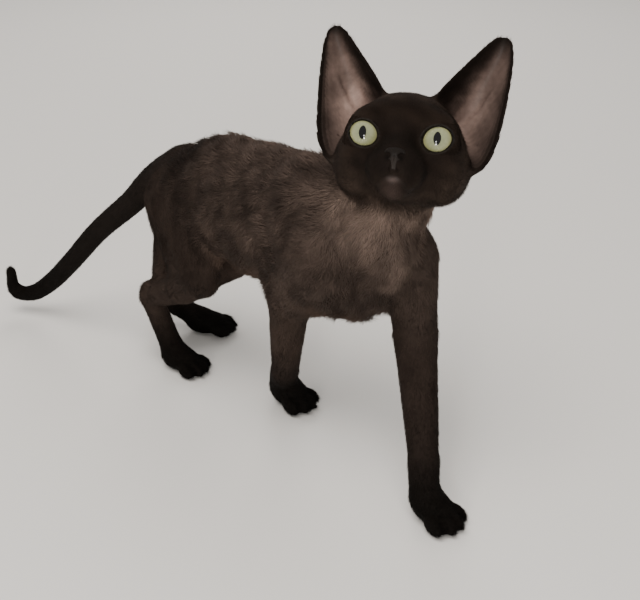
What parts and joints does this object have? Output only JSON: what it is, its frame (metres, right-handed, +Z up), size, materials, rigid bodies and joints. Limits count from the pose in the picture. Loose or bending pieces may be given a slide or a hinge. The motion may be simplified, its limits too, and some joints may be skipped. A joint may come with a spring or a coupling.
{
  "type": "devon rex kitten figure",
  "caption": "Life-size still figure of a short-coated dark devon rex kitten, walking with its head turned up and its large ears raised.",
  "frame": {"origin": "middle of the bounding box in X and Y, on the floor under the paws", "axes": "+X the way the body faces, +Y the cat's left, +Z up"},
  "size_m": [0.3606, 0.1224, 0.2259],
  "materials": {
    "coat": "short soft waved fur, dark smoky brown",
    "points": "close plush fur, near black",
    "face": "very short velvety fur, dark brown",
    "ear": "thin skin with fine down, pinkish brown inside",
    "nose": "moist leather, black",
    "eye": "clear wet eye, pale yellow green"
  },
  "bodies": {
    "root": {"head": "face", "neck": "coat", "torso": "coat", "foreleg_right": "coat", "foreleg_left": "coat", "hindleg_right": "coat", "hindleg_left": "coat", "tail_root": "coat", "paw_fore_right": "points", "paw_fore_left": "points", "paw_hind_right": "points", "paw_hind_left": "points", "tail_end": "points", "ear_left": "ear", "ear_right": "ear", "nose": "nose", "eye_left": "eye", "eye_right": "eye"}
  },
  "joints": []
}
